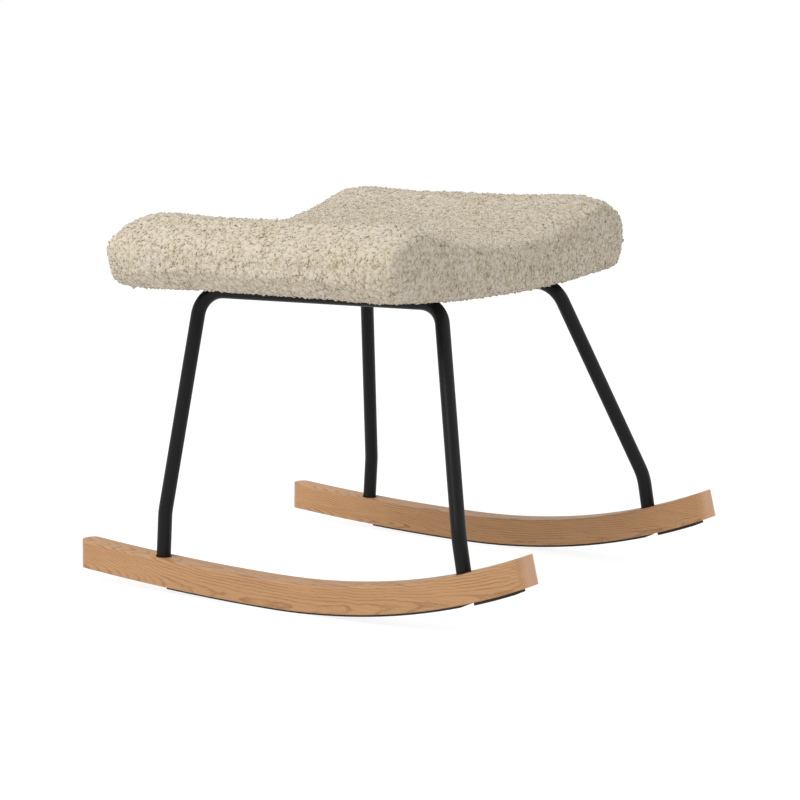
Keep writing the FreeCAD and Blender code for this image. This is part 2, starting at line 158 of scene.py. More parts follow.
ashLook = {
    "late": "#c8996b", "early": "#9f7148", "pore": "#7d5636", "endGrain": "#deb293",
    "roughness": 0.5,
    "ringWidth": 0.0026,
    "pithHeight": 0.014,           # above the underside of the rocker
    "pithDepth": 0.02,             # behind its outer side
    "lengthSlope": 0.02, "rearSlope": 0.3,
    "sway": 0.016, "swaySize": 0.09,
    "bendRadius": 0.83, "bendStart": 0.02, "rearRise": 0.036,
    "lineStart": 0.5, "lineFull": 0.9,
    "fadeScale": 90.0, "faintest": 0.3, "strongest": 0.85,
    "poreWidth": 0.0006, "poreLength": 0.009, "poreFrom": 0.6, "poreFull": 0.68,
    "poreInLine": 0.5, "poreElsewhere": 0.1, "poreRelief": 0.0002,
    "fibreWidth": 0.0012, "fibreLength": 0.06, "fibreDark": 0.9, "fibrePale": 1.06,
    "endFrom": 0.55, "endFull": 0.85, "endShare": 0.7,
}


# tone scales the whole colour of one rocker: painted light and shade, set lighter for the right rocker than for the
# left
def makeAsh(name, shift, pithSide, tone):
    material, tree, shader = newMaterial(name, ashLook["roughness"])
    place = objectCoords(tree)
    sway = addNode(tree, "ShaderNodeTexNoise", {}, {
        "Vector": objectCoords(tree, scale=(1, 0.6, 1), shift=shift), "Scale": 1 / ashLook["swaySize"],
        "Detail": 5.0, "Roughness": 0.55})
    swayed = addNode(tree, "ShaderNodeVectorMath", {"operation": "MULTIPLY_ADD"}, {
        0: sway.outputs["Color"], 1: (ashLook["sway"], 0.0, ashLook["sway"]), 2: place})
    axes = addNode(tree, "ShaderNodeSeparateXYZ", {}, {0: swayed.outputs[0]})
    past = addNode(tree, "ShaderNodeMath", {"operation": "SUBTRACT"}, {0: axes.outputs[1], 1: ashLook["bendStart"]})
    ahead = addNode(tree, "ShaderNodeMath", {"operation": "MINIMUM"}, {0: past.outputs[0], 1: 0.0})
    behind = addNode(tree, "ShaderNodeMath", {"operation": "MAXIMUM"}, {0: past.outputs[0], 1: 0.0})
    squared = addNode(tree, "ShaderNodeMath", {"operation": "MULTIPLY"}, {0: ahead.outputs[0], 1: ahead.outputs[0]})
    frontRise = addNode(tree, "ShaderNodeMath", {"operation": "MULTIPLY"}, {
        0: squared.outputs[0], 1: 0.5 / ashLook["bendRadius"]})
    bend = addNode(tree, "ShaderNodeMath", {"operation": "MULTIPLY_ADD"}, {
        0: behind.outputs[0], 1: ashLook["rearRise"], 2: frontRise.outputs[0]})
    straight = addNode(tree, "ShaderNodeMath", {"operation": "SUBTRACT"}, {0: axes.outputs[2], 1: bend.outputs[0]})
    above = addNode(tree, "ShaderNodeMath", {"operation": "SUBTRACT"}, {
        0: straight.outputs[0], 1: ashLook["pithHeight"]})
    aside = addNode(tree, "ShaderNodeMath", {"operation": "SUBTRACT"}, {0: axes.outputs[0], 1: pithSide})
    spokes = addNode(tree, "ShaderNodeCombineXYZ", {}, {0: aside.outputs[0], 2: above.outputs[0]})
    radius = addNode(tree, "ShaderNodeVectorMath", {"operation": "LENGTH"}, {0: spokes.outputs[0]})
    rearGain = addNode(tree, "ShaderNodeMath", {"operation": "MULTIPLY_ADD"}, {
        0: behind.outputs[0], 1: ashLook["rearSlope"], 2: ashLook["lengthSlope"]})
    taper = addNode(tree, "ShaderNodeMath", {"operation": "MULTIPLY"}, {0: rearGain.outputs[0], 1: past.outputs[0]})
    coned = addNode(tree, "ShaderNodeMath", {"operation": "SUBTRACT"}, {
        0: radius.outputs["Value"], 1: taper.outputs[0]})
    rings = addNode(tree, "ShaderNodeMath", {"operation": "DIVIDE"}, {0: coned.outputs[0], 1: ashLook["ringWidth"]})
    ring = addNode(tree, "ShaderNodeMath", {"operation": "FRACT"}, {0: rings.outputs[0]})
    rising = addNode(tree, "ShaderNodeMapRange", {"interpolation_type": "SMOOTHSTEP"}, {
        0: ring.outputs[0], 1: ashLook["lineStart"], 2: ashLook["lineFull"]})
    falling = addNode(tree, "ShaderNodeMapRange", {"interpolation_type": "SMOOTHSTEP"}, {
        0: ring.outputs[0], 1: ashLook["lineFull"], 2: 1.0, 3: 1.0, 4: 0.0})
    early = addNode(tree, "ShaderNodeMath", {"operation": "MULTIPLY"}, {0: rising.outputs[0], 1: falling.outputs[0]})
    depth = addNode(tree, "ShaderNodeTexNoise", {}, {
        "Vector": objectCoords(tree, scale=(1, 0.3, 1), shift=shift), "Scale": ashLook["fadeScale"],
        "Detail": 1.0})
    strength = addNode(tree, "ShaderNodeMapRange", {}, {
        0: depth.outputs["Fac"], 1: 0.35, 2: 0.65, 3: ashLook["faintest"], 4: ashLook["strongest"]})
    drawn = addNode(tree, "ShaderNodeMath", {"operation": "MULTIPLY"}, {0: early.outputs[0], 1: strength.outputs[0]})
    wood = addNode(tree, "ShaderNodeMix", {"data_type": "RGBA"}, {
        0: drawn.outputs[0], 6: linearColour(ashLook["late"]), 7: linearColour(ashLook["early"])})
    fibre = addNode(tree, "ShaderNodeTexNoise", {}, {
        "Vector": objectCoords(tree, scale=(1 / ashLook["fibreWidth"], 1 / ashLook["fibreLength"],
                                            1 / ashLook["fibreWidth"]), shift=shift),
        "Scale": 1.0, "Detail": 3.0})
    fibred = addNode(tree, "ShaderNodeMapRange", {}, {0: fibre.outputs["Fac"], 1: 0.3, 2: 0.7,
        3: ashLook["fibreDark"] * tone, 4: ashLook["fibrePale"] * tone})
    toned = addNode(tree, "ShaderNodeVectorMath", {"operation": "SCALE"}, {
        0: wood.outputs[2], "Scale": fibred.outputs[0]})
    pores = addNode(tree, "ShaderNodeTexNoise", {}, {
        "Vector": objectCoords(tree, scale=(1 / ashLook["poreWidth"], 1 / ashLook["poreLength"],
                                            1 / ashLook["poreWidth"]), shift=shift),
        "Scale": 1.0, "Detail": 1.0})
    poreEdge = addNode(tree, "ShaderNodeMapRange", {}, {
        0: pores.outputs["Fac"], 1: ashLook["poreFrom"], 2: ashLook["poreFull"]})
    poreInRing = addNode(tree, "ShaderNodeMath", {"operation": "MULTIPLY_ADD"}, {
        0: early.outputs[0], 1: ashLook["poreInLine"], 2: ashLook["poreElsewhere"]})
    poreShare = addNode(tree, "ShaderNodeMath", {"operation": "MULTIPLY"}, {
        0: poreEdge.outputs[0], 1: poreInRing.outputs[0]})
    pored = addNode(tree, "ShaderNodeMix", {"data_type": "RGBA"}, {
        0: poreShare.outputs[0], 6: toned.outputs[0], 7: linearColour(ashLook["pore"])})
    facing = addNode(tree, "ShaderNodeSeparateXYZ", {}, {0: addNode(tree, "ShaderNodeNewGeometry").outputs["Normal"]})
    endOn = addNode(tree, "ShaderNodeMath", {"operation": "ABSOLUTE"}, {0: facing.outputs[1]})
    endShare = addNode(tree, "ShaderNodeMapRange", {}, {
        0: endOn.outputs[0], 1: ashLook["endFrom"], 2: ashLook["endFull"], 4: ashLook["endShare"]})
    ended = addNode(tree, "ShaderNodeMix", {"data_type": "RGBA"}, {
        0: endShare.outputs[0], 6: pored.outputs[2], 7: linearColour(ashLook["endGrain"])})
    tree.links.new(ended.outputs[2], shader.inputs["Base Color"])
    relief = addNode(tree, "ShaderNodeBump", {"invert": True}, {
        "Height": poreShare.outputs[0], "Distance": ashLook["poreRelief"], "Strength": 0.5})
    tree.links.new(relief.outputs[0], shader.inputs["Normal"])
    return material


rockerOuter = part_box("rocker_right")[1][0]
# painted light: the left rocker's colour is scaled by 0.97 and the right one's by 1.1, so the right rocker is painted
# lighter, not a different wood
dress(makeAsh("oiledAshLeftPaintedShade", (0.0, 0.0, 0.0), ashLook["pithDepth"] - rockerOuter, 0.97), "rocker_left")
dress(makeAsh("oiledAshRightPaintedLight", (0.31, 0.47, 0.12), rockerOuter - ashLook["pithDepth"], 1.1), "rocker_right")
print("rockers dressed")


# Hoops, bars and welds: steel in black powder coat, baked. Even satin black with a soft sheen and faint orange peel

powderLook = {"colour": "#0c0d0d", "roughness": 0.42, "shine": 0.2, "peelSize": 0.0022, "peelDepth": 0.00004,
              "dark": 0.9, "pale": 1.1}


def makePowderCoat():
    material, tree, shader = newMaterial("blackPowderCoat", powderLook["roughness"])
    shader.inputs["Specular IOR Level"].default_value = powderLook["shine"]
    peel = addNode(tree, "ShaderNodeTexNoise", {}, {
        "Vector": objectCoords(tree), "Scale": 1 / powderLook["peelSize"], "Detail": 2.0})
    shade = addNode(tree, "ShaderNodeMapRange", {}, {
        0: peel.outputs["Fac"], 3: powderLook["dark"], 4: powderLook["pale"]})
    toned = addNode(tree, "ShaderNodeVectorMath", {"operation": "SCALE"}, {
        0: linearColour(powderLook["colour"])[:3], "Scale": shade.outputs[0]})
    tree.links.new(toned.outputs[0], shader.inputs["Base Color"])
    bump = addNode(tree, "ShaderNodeBump", {}, {
        "Height": peel.outputs["Fac"], "Distance": powderLook["peelDepth"], "Strength": 0.6})
    tree.links.new(bump.outputs[0], shader.inputs["Normal"])
    return material


dress(makePowderCoat(), "hoop_left", "hoop_right", "crossbar_front", "crossbar_rear", "weld_beads")
print("steel dressed")


# Sole and stop strips: black sheet rubber, calendered. Matt, dusty black with a fine grain

rubberLook = {"colour": "#262321", "dust": "#3a3632", "roughness": 0.85, "grain": 0.0015}


def makeRubber():
    material, tree, shader = newMaterial("soleRubber", rubberLook["roughness"], ior=1.52)
    grain = addNode(tree, "ShaderNodeTexNoise", {}, {
        "Vector": objectCoords(tree), "Scale": 1 / rubberLook["grain"], "Detail": 3.0})
    dusty = addNode(tree, "ShaderNodeMix", {"data_type": "RGBA"}, {
        0: grain.outputs["Fac"], 6: linearColour(rubberLook["colour"]), 7: linearColour(rubberLook["dust"])})
    tree.links.new(dusty.outputs[2], shader.inputs["Base Color"])
    bump = addNode(tree, "ShaderNodeBump", {}, {"Height": grain.outputs["Fac"], "Distance": 0.0001})
    tree.links.new(bump.outputs[0], shader.inputs["Normal"])
    return material


dress(makeRubber(), "sole_strip_left", "sole_strip_right", "stop_strip_left", "stop_strip_right")
print("strips dressed")


# Fasteners and plugs: steel, zinc plated. Pale grey metal, a little cloudy

zincLook = {"bright": "#c3c6c9", "dull": "#9a9ea2", "roughness": 0.34, "cloud": 0.004,
            "smoothest": 0.26, "roughest": 0.42}


def makeZinc():
    material, tree, shader = newMaterial("zincPlatedSteel", zincLook["roughness"], metallic=1.0)
    cloud = addNode(tree, "ShaderNodeTexNoise", {}, {
        "Vector": objectCoords(tree), "Scale": 1 / zincLook["cloud"], "Detail": 2.0})
    clouded = addNode(tree, "ShaderNodeMix", {"data_type": "RGBA"}, {
        0: cloud.outputs["Fac"], 6: linearColour(zincLook["bright"]), 7: linearColour(zincLook["dull"])})
    tree.links.new(clouded.outputs[2], shader.inputs["Base Color"])
    rough = addNode(tree, "ShaderNodeMapRange", {}, {
        0: cloud.outputs["Fac"], 3: zincLook["smoothest"], 4: zincLook["roughest"]})
    tree.links.new(rough.outputs[0], shader.inputs["Roughness"])
    return material


dress(makeZinc(), "leg_plugs", "foot_washers", "foot_screws", "insert_nuts", "seat_washers", "seat_screws",
      "cloth_staples")


# Shell: birch plywood, moulded. Pale veneer with soft grain along X, and darker glue lines at the edges

plyLook = {"pale": "#dcc39a", "warm": "#c9aa7c", "glue": "#8d6c48", "roughness": 0.6,
           "veneer": 0.0015, "curveRadius": 2.6, "grainWidth": 0.003, "grainLength": 0.08,
           "glueFrom": 0.85, "edgeFacing": 0.5}


def makePlywood():
    material, tree, shader = newMaterial("mouldedBirchPlywood", plyLook["roughness"])
    grain = addNode(tree, "ShaderNodeTexNoise", {}, {
        "Vector": objectCoords(tree, scale=(1 / plyLook["grainLength"], 1 / plyLook["grainWidth"],
                                            1 / plyLook["grainWidth"])),
        "Scale": 1.0, "Detail": 3.0})
    face = addNode(tree, "ShaderNodeMix", {"data_type": "RGBA"}, {
        0: grain.outputs["Fac"], 6: linearColour(plyLook["pale"]), 7: linearColour(plyLook["warm"])})
    axes = addNode(tree, "ShaderNodeSeparateXYZ", {}, {0: objectCoords(tree)})
    squared = addNode(tree, "ShaderNodeMath", {"operation": "MULTIPLY"}, {0: axes.outputs[0], 1: axes.outputs[0]})
    height = addNode(tree, "ShaderNodeMath", {"operation": "MULTIPLY_ADD"}, {
        0: squared.outputs[0], 1: -0.5 / plyLook["curveRadius"], 2: axes.outputs[2]})
    layers = addNode(tree, "ShaderNodeMath", {"operation": "DIVIDE"}, {0: height.outputs[0], 1: plyLook["veneer"]})
    layer = addNode(tree, "ShaderNodeMath", {"operation": "FRACT"}, {0: layers.outputs[0]})
    glueLine = addNode(tree, "ShaderNodeMath", {"operation": "GREATER_THAN"}, {
        0: layer.outputs[0], 1: plyLook["glueFrom"]})
    facing = addNode(tree, "ShaderNodeSeparateXYZ", {}, {0: addNode(tree, "ShaderNodeNewGeometry").outputs["Normal"]})
    upright = addNode(tree, "ShaderNodeMath", {"operation": "ABSOLUTE"}, {0: facing.outputs[2]})
    onEdge = addNode(tree, "ShaderNodeMath", {"operation": "LESS_THAN"}, {
        0: upright.outputs[0], 1: plyLook["edgeFacing"]})
    glueShare = addNode(tree, "ShaderNodeMath", {"operation": "MULTIPLY"}, {
        0: glueLine.outputs[0], 1: onEdge.outputs[0]})
    glued = addNode(tree, "ShaderNodeMix", {"data_type": "RGBA"}, {
        0: glueShare.outputs[0], 6: face.outputs[2], 7: linearColour(plyLook["glue"])})
    tree.links.new(glued.outputs[2], shader.inputs["Base Color"])
    return material


dress(makePlywood(), "seat_shell")
print("small parts and shell dressed")


# Curls of the fleece: modelled once each, then scattered

curlShapes = [
    {"turn": 420, "coil": 0.0011, "rise": 0.0018, "thick": 0.00085},
    {"turn": 320, "coil": 0.0013, "rise": 0.0014, "thick": 0.00095},
    {"turn": 260, "coil": 0.0015, "rise": 0.0017, "thick": 0.00085},
    {"turn": 380, "coil": 0.0009, "rise": 0.0021, "thick": 0.00080},
    {"turn": 280, "coil": 0.0012, "rise": 0.0010, "thick": 0.00105},
]
curlLook = {"sides": 3, "steps": 6, "swell": 1.15, "taper": 0.85, "rootRise": 0.45}


def modelCurl(number, shape):
    deselectAll()
    bpy.ops.mesh.primitive_circle_add(vertices=curlLook["sides"], radius=shape["thick"], fill_type="NGON",
                                      location=(shape["coil"], 0, 0), rotation=(math.pi / 2, 0, 0))
    curl = bpy.context.object
    curl.name = "curl" + str(number)
    bpy.ops.object.transform_apply(location=True, rotation=True, scale=True)
    bpy.ops.object.mode_set(mode="EDIT")
    bpy.ops.mesh.select_all(action="SELECT")
    for step in range(curlLook["steps"]):
        bpy.ops.mesh.extrude_region_move(
            TRANSFORM_OT_translate={"value": (0, 0, shape["rise"] / curlLook["steps"])})
        bpy.ops.transform.rotate(value=math.radians(shape["turn"] / curlLook["steps"]), orient_axis="Z",
                                 center_override=(0, 0, 0))
        working = bmesh.from_edit_mesh(curl.data)
        ringPoints = [v.co for v in working.verts if v.select]
        ringMiddle = sum(ringPoints, Vector()) / len(ringPoints)
        swell = curlLook["swell"] if step < curlLook["steps"] / 2 else curlLook["taper"]
        bpy.ops.transform.resize(value=(swell, swell, swell), center_override=ringMiddle)
    bpy.ops.mesh.select_all(action="SELECT")
    bpy.ops.mesh.normals_make_consistent(inside=False)
    bpy.ops.object.mode_set(mode="OBJECT")
    bpy.ops.object.shade_smooth()
    # rise runs from root to tip; the fleece material paints shade low on it
    risen = curl.data.attributes.new("rise", "FLOAT", "POINT")
    heights = [v.co.z for v in curl.data.vertices]
    low, high = min(heights), max(heights)
    for value, height in zip(risen.data, heights):
        value.value = curlLook["rootRise"] + (1 - curlLook["rootRise"]) * (height - low) / (high - low)
    return curl


# Seat in fleece: the padded form first, then its skin, then the pile

seatLook = {
    "voxel": 0.006,
    "pressure": 4.0,
    "mostSwell": 0.003, "swellFrames": 20,
    "pinned": 0.03,                # height above the lowest edge that the swelling leaves alone
    "pileDepth": 0.0015,           # from the outside of the pile to the middle of the lumps
    "openingBelow": 0.003, "openingAbove": 0.004, "downFacing": -0.8,    # faces that the dust cloth takes over
    "hiddenEdge": 0.004,           # how far the fleece runs up into the shell
    "clumpSize": 0.02, "clumpDepth": 0.001,
    "lumpSize": 0.0085, "lumpDepth": 0.0036,
    "nubSize": 0.0042, "nubDepth": 0.0012, "lumpMiddle": 0.4,
    "lowestPart": 50, "highestPart": 10,    # one point in 50 counts as lowest, and one in 10 as highest
    "curlGap": 0.0033, "mostCurls": 120000.0,
    "curlTilt": 1.2,
    "curlSink": 0.0012,
    "smallest": 0.8, "largest": 1.3,
    "lean": 0.0055, "leanFrom": 0.345, "leanTo": 0.415,    # soft rims: the left one settles and the right one stands
    "seed": 11, "tiltSeed": 3, "sizeSeed": 5, "toneSeed": 9,
}


def leanRims(piece):
    for vertex in piece.data.vertices:
        share = (vertex.co.z - seatLook["leanFrom"]) / (seatLook["leanTo"] - seatLook["leanFrom"])
        vertex.co.z += seatLook["lean"] * min(1.0, max(0.0, share)) * vertex.co.x / coverHigh[0]


def swellForm(piece, pinBelow):
    before = [(v.co.copy(), v.normal.copy()) for v in piece.data.vertices]
    pins = piece.vertex_groups.new(name="pins")
    pins.add([v.index for v in piece.data.vertices if v.co.z < pinBelow], 1.0, "REPLACE")
    cloth = addModifier(piece, "CLOTH", {})
    cloth.settings.use_pressure = True
    cloth.settings.uniform_pressure_force = seatLook["pressure"]
    cloth.settings.effector_weights.gravity = 0
    cloth.settings.vertex_group_mass = "pins"
    cloth.point_cache.frame_end = seatLook["swellFrames"]
    for frameNumber in range(1, seatLook["swellFrames"] + 1):
        bpy.context.scene.frame_set(frameNumber)
    bpy.ops.object.modifier_apply(modifier=cloth.name)
    bpy.context.scene.frame_set(1)
    for vertex, (start, outward) in zip(piece.data.vertices, before):
        swell = (vertex.co - start).dot(outward)
        vertex.co = start + outward * min(seatLook["mostSwell"], max(0.0, swell))


clothLow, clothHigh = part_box("dust_cloth")
coverLow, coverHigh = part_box("seat_cover")

seat = copyOfNodes("fleeceCover", ["seat_cover", "foam_pad", "seat_shell"])
applyModifier(seat, "REMESH", {"mode": "VOXEL", "voxel_size": seatLook["voxel"], "use_smooth_shade": True})
applyModifier(seat, "SMOOTH", {"factor": 0.5, "iterations": 1})
swellForm(seat, coverLow[2] + seatLook["pinned"])
leanRims(seat)
print("seat form", len(seat.data.vertices), "points")

# the dust cloth fills the opening under the shell, so the fleece ends round it
selectOnly(seat)
bpy.ops.object.mode_set(mode="EDIT")
bpy.ops.mesh.select_mode(type="FACE")
bpy.ops.mesh.select_all(action="DESELECT")
working = bmesh.from_edit_mesh(seat.data)
for face in working.faces:
    middle = face.calc_center_median()
    inPlan = clothLow[0] < middle.x < clothHigh[0] and clothLow[1] < middle.y < clothHigh[1]
    atCloth = clothLow[2] - seatLook["openingBelow"] < middle.z < clothHigh[2] + seatLook["openingAbove"]
    face.select = inPlan and atCloth and face.normal.z < seatLook["downFacing"]
bmesh.update_edit_mesh(seat.data)
bpy.ops.mesh.delete(type="FACE")
bpy.ops.object.mode_set(mode="OBJECT")

applyModifier(seat, "DISPLACE", {"strength": -seatLook["pileDepth"], "mid_level": 0.0, "direction": "NORMAL"})
applyModifier(seat, "SUBSURF", {"levels": 2, "render_levels": 2})
clumps = bpy.data.textures.new("clumps", "CLOUDS")
clumps.noise_scale = seatLook["clumpSize"]
clumps.noise_depth = 1
applyModifier(seat, "DISPLACE", {"texture": clumps, "strength": seatLook["clumpDepth"], "mid_level": 0.5})
smoothSkin = [v.co.copy() for v in seat.data.vertices]
smoothNormals = [v.normal.copy() for v in seat.data.vertices]
for size, depth in (("lumpSize", "lumpDepth"), ("nubSize", "nubDepth")):
    lumps = bpy.data.textures.new("lumps", "VORONOI")
    lumps.noise_scale = seatLook[size]
    lumps.weight_1 = -1.0
    lumps.weight_2 = 1.0
    applyModifier(seat, "DISPLACE", {"texture": lumps, "strength": seatLook[depth],
                                      "mid_level": seatLook["lumpMiddle"]})
# rise: how high each point stands on its lumps; the fleece material paints shade in the low crevices
risen = seat.data.attributes.new("rise", "FLOAT", "POINT")
raised = [(v.co - start).dot(normal) for v, start, normal in zip(seat.data.vertices, smoothSkin, smoothNormals)]
print("lumps from", min(raised), "to", max(raised))
ordered = sorted(raised)
lowest = ordered[len(raised) // seatLook["lowestPart"]]
highest = ordered[-len(raised) // seatLook["highestPart"]]
for value, height in zip(risen.data, raised):
    value.value = min(1.0, max(0.0, (height - lowest) / (highest - lowest)))
selectOnly(seat)
bpy.ops.object.shade_smooth()
print("seat skin", len(seat.data.polygons), "faces")

curlBox = bpy.data.collections.new("curlShapes")
bpy.context.scene.collection.children.link(curlBox)
curls = [modelCurl(number, shape) for number, shape in enumerate(curlShapes)]
for curl in curls:
    for holder in curl.users_collection:
        holder.objects.unlink(curl)
    curlBox.objects.link(curl)

# a copy of the skin carries the scatter and becomes the pile
selectOnly(seat)
bpy.ops.object.duplicate()
pile = bpy.context.object
pile.name = "pile"

scatter = bpy.data.node_groups.new("curlScatter", "GeometryNodeTree")
scatter.interface.new_socket("Geometry", in_out="INPUT", socket_type="NodeSocketGeometry")
scatter.interface.new_socket("Geometry", in_out="OUTPUT", socket_type="NodeSocketGeometry")
skinIn = addNode(scatter, "NodeGroupInput")
roots = addNode(scatter, "GeometryNodeDistributePointsOnFaces", {"distribute_method": "POISSON"}, {
    "Mesh": skinIn.outputs[0], "Distance Min": seatLook["curlGap"], "Density Max": seatLook["mostCurls"],
    "Seed": seatLook["seed"]})
lean = addNode(scatter, "FunctionNodeRandomValue", {"data_type": "FLOAT_VECTOR"}, {
    0: (-seatLook["curlTilt"], -seatLook["curlTilt"], 0.0),
    1: (seatLook["curlTilt"], seatLook["curlTilt"], 2 * math.pi), "Seed": seatLook["tiltSeed"]})
sunk = addNode(scatter, "ShaderNodeVectorMath", {"operation": "SCALE"}, {
    0: roots.outputs["Normal"], "Scale": -seatLook["curlSink"]})
rooted = addNode(scatter, "GeometryNodeSetPosition", {}, {
    "Geometry": roots.outputs["Points"], "Offset": sunk.outputs[0]})
leant = addNode(scatter, "FunctionNodeRotateRotation", {"rotation_space": "LOCAL"}, {
    0: roots.outputs["Rotation"], 1: lean.outputs[0]})
size = addNode(scatter, "FunctionNodeRandomValue", {"data_type": "FLOAT"}, {
    2: seatLook["smallest"], 3: seatLook["largest"], "Seed": seatLook["sizeSeed"]})
choice = addNode(scatter, "GeometryNodeCollectionInfo", {"transform_space": "ORIGINAL"}, {
    "Collection": curlBox, "Separate Children": True, "Reset Children": True})
placed = addNode(scatter, "GeometryNodeInstanceOnPoints", {}, {
    "Points": rooted.outputs[0], "Instance": choice.outputs[0], "Pick Instance": True,
    "Rotation": leant.outputs[0], "Scale": size.outputs[1]})
tone = addNode(scatter, "FunctionNodeRandomValue", {"data_type": "FLOAT"}, {"Seed": seatLook["toneSeed"]})
toned = addNode(scatter, "GeometryNodeStoreNamedAttribute", {"data_type": "FLOAT", "domain": "INSTANCE"}, {
    "Geometry": placed.outputs[0], "Name": "tone", "Value": tone.outputs[1]})
realCurls = addNode(scatter, "GeometryNodeRealizeInstances", {}, {0: toned.outputs[0]})
addNode(scatter, "NodeGroupOutput", {}, {0: realCurls.outputs[0]})
applyModifier(pile, "NODES", {"node_group": scatter})
print("pile", len(pile.data.polygons), "faces")

# the skin's open edge runs up into the shell, where it is closed
selectOnly(seat)
bpy.ops.object.mode_set(mode="EDIT")
bpy.ops.mesh.select_mode(type="EDGE")
bpy.ops.mesh.select_all(action="DESELECT")
bpy.ops.mesh.select_non_manifold(extend=False)
bpy.ops.mesh.extrude_region_move(TRANSFORM_OT_translate={"value": (0, 0, seatLook["hiddenEdge"])})
bpy.ops.mesh.edge_face_add()
bpy.ops.object.mode_set(mode="OBJECT")
deselectAll()
pile.select_set(True)
seat.select_set(True)
bpy.context.view_layer.objects.active = seat
bpy.ops.object.join()
for curl in curls:
    bpy.data.objects.remove(curl)
bpy.data.collections.remove(curlBox)
print("seat with its pile", len(seat.data.polygons), "faces")


# Fleece: wool and polyester, knitted and tumbled into curls. Cream tips, with an ochre colour painted low in the
# crevices among the curls as painted shade, no gloss

# root and the paler crevice colour are painted shade: ochre colours put low in the crevices, not colours of the fibre
fleeceLook = {"root": "#94825f", "between": "#c5b799", "pale": "#dcd3c4", "warm": "#d3c6b0",
              "roughness": 0.92, "sheen": 0.25, "shine": 0.15, "patch": 0.06, "shade": 0.011,
              "fibre": 0.0006, "fibreDepth": 0.0004, "curlTone": 0.6, "warmFrom": 0.3, "warmFull": 1.2,
              "tipRise": 0.5, "shadeFrom": 0.48, "shadeFull": 0.66}


def makeFleece():
    material, tree, shader = newMaterial("curlyFleece", fleeceLook["roughness"])
    shader.inputs["Sheen Weight"].default_value = fleeceLook["sheen"]
    shader.inputs["Sheen Roughness"].default_value = 0.5
    shader.inputs["Specular IOR Level"].default_value = fleeceLook["shine"]
    rise = addNode(tree, "ShaderNodeAttribute", {"attribute_name": "rise"})
    curlTone = addNode(tree, "ShaderNodeAttribute", {"attribute_name": "tone"})
    patch = addNode(tree, "ShaderNodeTexNoise", {}, {
        "Vector": objectCoords(tree), "Scale": 1 / fleeceLook["patch"], "Detail": 2.0})
    mixed = addNode(tree, "ShaderNodeMath", {"operation": "MULTIPLY_ADD"}, {
        0: curlTone.outputs["Fac"], 1: fleeceLook["curlTone"], 2: patch.outputs["Fac"]})
    share = addNode(tree, "ShaderNodeMapRange", {}, {
        0: mixed.outputs[0], 1: fleeceLook["warmFrom"], 2: fleeceLook["warmFull"]})
    tips = addNode(tree, "ShaderNodeMix", {"data_type": "RGBA"}, {
        0: share.outputs[0], 6: linearColour(fleeceLook["pale"]), 7: linearColour(fleeceLook["warm"])})
    # painted shade: points low on the rise, deep in the crevices and at the curl roots, take the darker crevice
    # colour
    outward = addNode(tree, "ShaderNodeMapRange", {"interpolation_type": "SMOOTHSTEP"}, {
        0: rise.outputs["Fac"], 1: 0.0, 2: fleeceLook["tipRise"]})
    shade = addNode(tree, "ShaderNodeTexNoise", {}, {
        "Vector": objectCoords(tree), "Scale": 1 / fleeceLook["shade"], "Detail": 2.0})
    shadeShare = addNode(tree, "ShaderNodeMapRange", {"interpolation_type": "SMOOTHSTEP"}, {
        0: shade.outputs["Fac"], 1: fleeceLook["shadeFrom"], 2: fleeceLook["shadeFull"]})
    # the painted crevice shade is darkest, the root colour, where this noise mask is high
    paintedCreviceShade = addNode(tree, "ShaderNodeMix", {"data_type": "RGBA"}, {
        0: shadeShare.outputs[0], 6: linearColour(fleeceLook["between"]), 7: linearColour(fleeceLook["root"])})
    colour = addNode(tree, "ShaderNodeMix", {"data_type": "RGBA"}, {
        0: outward.outputs[0], 6: paintedCreviceShade.outputs[2], 7: tips.outputs[2]})
    tree.links.new(colour.outputs[2], shader.inputs["Base Color"])
    fibre = addNode(tree, "ShaderNodeTexNoise", {}, {
        "Vector": objectCoords(tree), "Scale": 1 / fleeceLook["fibre"], "Detail": 2.0})
    bump = addNode(tree, "ShaderNodeBump", {}, {
        "Height": fibre.outputs["Fac"], "Distance": fleeceLook["fibreDepth"], "Strength": 0.6})
    tree.links.new(bump.outputs[0], shader.inputs["Normal"])
    return material


cover(seat, makeFleece())
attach(seat, "root")
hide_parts("seat_cover")


# Foam pad: polyurethane foam, cut. Pale cream with open cells

foamLook = {"pale": "#ece3c4", "cell": "#cdbf95", "cellSize": 0.0016, "voxel": 0.006}


def makeFoam():
    material, tree, shader = newMaterial("cutFoam", 0.95)
    cells = addNode(tree, "ShaderNodeTexVoronoi", {}, {
        "Vector": objectCoords(tree), "Scale": 1 / foamLook["cellSize"]})
    mixed = addNode(tree, "ShaderNodeMix", {"data_type": "RGBA"}, {
        0: cells.outputs["Distance"], 6: linearColour(foamLook["cell"]), 7: linearColour(foamLook["pale"])})
    tree.links.new(mixed.outputs[2], shader.inputs["Base Color"])
    bump = addNode(tree, "ShaderNodeBump", {}, {"Height": cells.outputs["Distance"], "Distance": 0.0004})
    tree.links.new(bump.outputs[0], shader.inputs["Normal"])
    return material


foam = copyOfNodes("foamPad", ["foam_pad"])
applyModifier(foam, "REMESH", {"mode": "VOXEL", "voxel_size": foamLook["voxel"], "use_smooth_shade": True})
leanRims(foam)
cover(foam, makeFoam())
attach(foam, "root")
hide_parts("foam_pad")
print("foam pad made")


# Dust cloth: black spunbond, stapled flat under the shell. Matt, faintly dotted by its bonding points

dustLook = {"thread": "#2b2b2d", "dot": "#1b1b1d", "dotPitch": 0.0012, "thickness": 0.0006,
            "corner": 0.0245, "cuts": 20}


